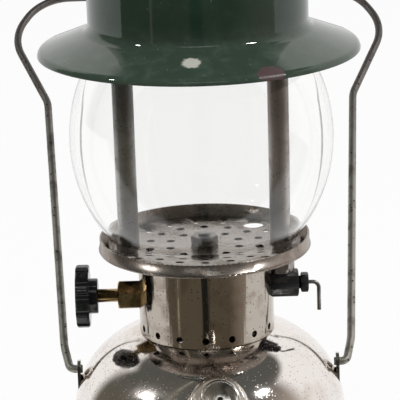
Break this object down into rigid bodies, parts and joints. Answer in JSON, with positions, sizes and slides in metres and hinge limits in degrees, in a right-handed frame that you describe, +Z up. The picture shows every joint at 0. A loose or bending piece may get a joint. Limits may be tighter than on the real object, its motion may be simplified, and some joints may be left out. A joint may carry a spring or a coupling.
{
  "type": "kerosene pressure lantern",
  "caption": "Portable pressure lantern: nickel tank with hand pump, valve knob, pierced collar, clear glass globe on a dish, green enamelled ventilator and a wire bail.",
  "frame": {"origin": "centre of the fount's foot ring, on the surface it stands on", "axes": "+Z up; the pump is in front on -Y, the valve knob on -X and the tip cleaner on +X; the bail leans back towards +Y"},
  "size_m": [0.1984, 0.2726, 0.3098],
  "materials": {
    "nickel": "worn nickel plate with fine pitting",
    "pump_nickel": "dull nickel plate",
    "enamel_green": "dark green vitreous enamel",
    "globe_glass": "clear blown glass",
    "brass": "tarnished brass",
    "bakelite": "black moulded bakelite",
    "black_steel": "blackened steel",
    "bail_steel": "speckled old steel wire",
    "wire_steel": "plain steel wire",
    "air_tube_steel": "grey smoked steel tube",
    "generator_brass": "heat-stained brass tube",
    "dark_steel": "heat-darkened steel",
    "burner_iron": "heat-darkened cast burner",
    "leather": "oiled pump leather",
    "rubber": "black rubber washer"
  },
  "bodies": {
    "lantern": {"fount_body": "nickel", "fount_bottom": "nickel", "valve_bung": "brass", "filler_neck": "nickel", "pump_tube": "brass", "pump_check_valve": "brass", "air_stem": "wire_steel", "pump_seat": "nickel", "pump_cap": "pump_nickel", "valve_body": "brass", "fuel_pickup_tube": "brass", "valve_packing_nut": "brass", "generator_block": "black_steel", "generator_nut": "brass", "cleaner_gland_nut": "black_steel", "collar": "nickel", "centre_stud": "dark_steel", "plate_nut": "dark_steel", "globe_rest": "nickel", "air_tube": "air_tube_steel", "generator": "generator_brass", "gas_tip": "brass", "burner_manifold": "burner_iron", "burner_cap": "burner_iron", "heat_baffle": "dark_steel", "vent_stud": "dark_steel", "stud_sleeve": "dark_steel", "bail_ear_left": "nickel", "bail_ear_right": "nickel"},
    "bail": {"bail": "bail_steel"},
    "valve_point": {"valve_needle": "brass"},
    "valve_handle": {"valve_stem": "brass", "valve_knob": "bakelite", "knob_screw": "nickel"},
    "cleaner_lever": {"cleaner_lever": "wire_steel"},
    "cleaner_needle": {"cleaner_needle": "wire_steel"},
    "pump_piston": {"pump_cup": "leather", "pump_spring": "wire_steel"},
    "pump_plunger": {"pump_rod": "wire_steel", "pump_knob": "pump_nickel"},
    "filler_seal": {"filler_gasket": "rubber"},
    "filler_cap_boss": {"filler_cap_screw": "nickel"},
    "filler_cap": {"filler_cap": "nickel"},
    "ventilator": {"ventilator": "enamel_green", "vent_seat_ring": "dark_steel"},
    "vent_washer": {"vent_washer": "nickel"},
    "vent_nut": {"vent_nut": "nickel"},
    "globe": {"globe": "globe_glass"}
  },
  "joints": [
    {"name": "bail_swing", "type": "hinge", "parent": "lantern", "child": "bail", "pos_m": [0, 0, 0.076], "axis": [1, 0, 0], "range_deg": [-50, 155]},
    {"name": "valve_travel", "type": "slide", "parent": "lantern", "child": "valve_point", "axis": [-1, 0, 0], "range_m": [0, 0.0016]},
    {"name": "valve_turn", "type": "hinge", "parent": "valve_point", "child": "valve_handle", "pos_m": [0, 0, 0.1127], "axis": [-1, 0, 0], "range_deg": [0, 720]},
    {"name": "cleaner_turn", "type": "hinge", "parent": "lantern", "child": "cleaner_lever", "pos_m": [0.036, 0, 0.1165], "axis": [1, 0, 0], "range_deg": [0, 180]},
    {"name": "needle_lift", "type": "slide", "parent": "lantern", "child": "cleaner_needle", "axis": [0, 0, 1], "range_m": [0, 0.0024]},
    {"name": "pump_stroke", "type": "slide", "parent": "lantern", "child": "pump_piston", "axis": [0.0578, -0.827, 0.5592], "range_m": [0, 0.06]},
    {"name": "pump_turn", "type": "hinge", "parent": "pump_piston", "child": "pump_plunger", "pos_m": [0.00403, -0.05768, 0.07749], "axis": [0.0578, -0.827, 0.5592], "range_deg": [0, 360]},
    {"name": "filler_pull", "type": "slide", "parent": "lantern", "child": "filler_seal", "axis": [-0.2106, 0.5785, 0.788], "range_m": [0, 0.04]},
    {"name": "filler_thread", "type": "slide", "parent": "filler_seal", "child": "filler_cap_boss", "axis": [-0.2106, 0.5785, 0.788], "range_m": [0, 0.0045]},
    {"name": "filler_turn", "type": "hinge", "parent": "filler_cap_boss", "child": "filler_cap", "pos_m": [-0.01671, 0.04591, 0.0871], "axis": [-0.2106, 0.5785, 0.788], "range_deg": [0, 1080]},
    {"name": "vent_lift", "type": "slide", "parent": "lantern", "child": "ventilator", "axis": [0, 0, 1], "range_m": [0, 0.24]},
    {"name": "nut_rise", "type": "slide", "parent": "ventilator", "child": "vent_washer", "axis": [0, 0, 1], "range_m": [0, 0.01]},
    {"name": "nut_turn", "type": "hinge", "parent": "vent_washer", "child": "vent_nut", "pos_m": [0, 0, 0.3], "axis": [0, 0, 1], "range_deg": [0, 3600]},
    {"name": "globe_lift", "type": "slide", "parent": "lantern", "child": "globe", "axis": [0, 0, 1], "range_m": [0, 0.18]}
  ],
  "couplings": [
    {"joint": "valve_travel", "follows": "valve_turn", "m_per_rad": 0.00012732},
    {"joint": "needle_lift", "follows": "cleaner_turn", "m_per_rad": 0.00076394},
    {"joint": "filler_thread", "follows": "filler_turn", "m_per_rad": 0.00023873},
    {"joint": "nut_rise", "follows": "nut_turn", "m_per_rad": 0.00015915},
    {"joint": "globe_lift", "follows": "vent_lift", "ratio": 0.75}
  ]
}
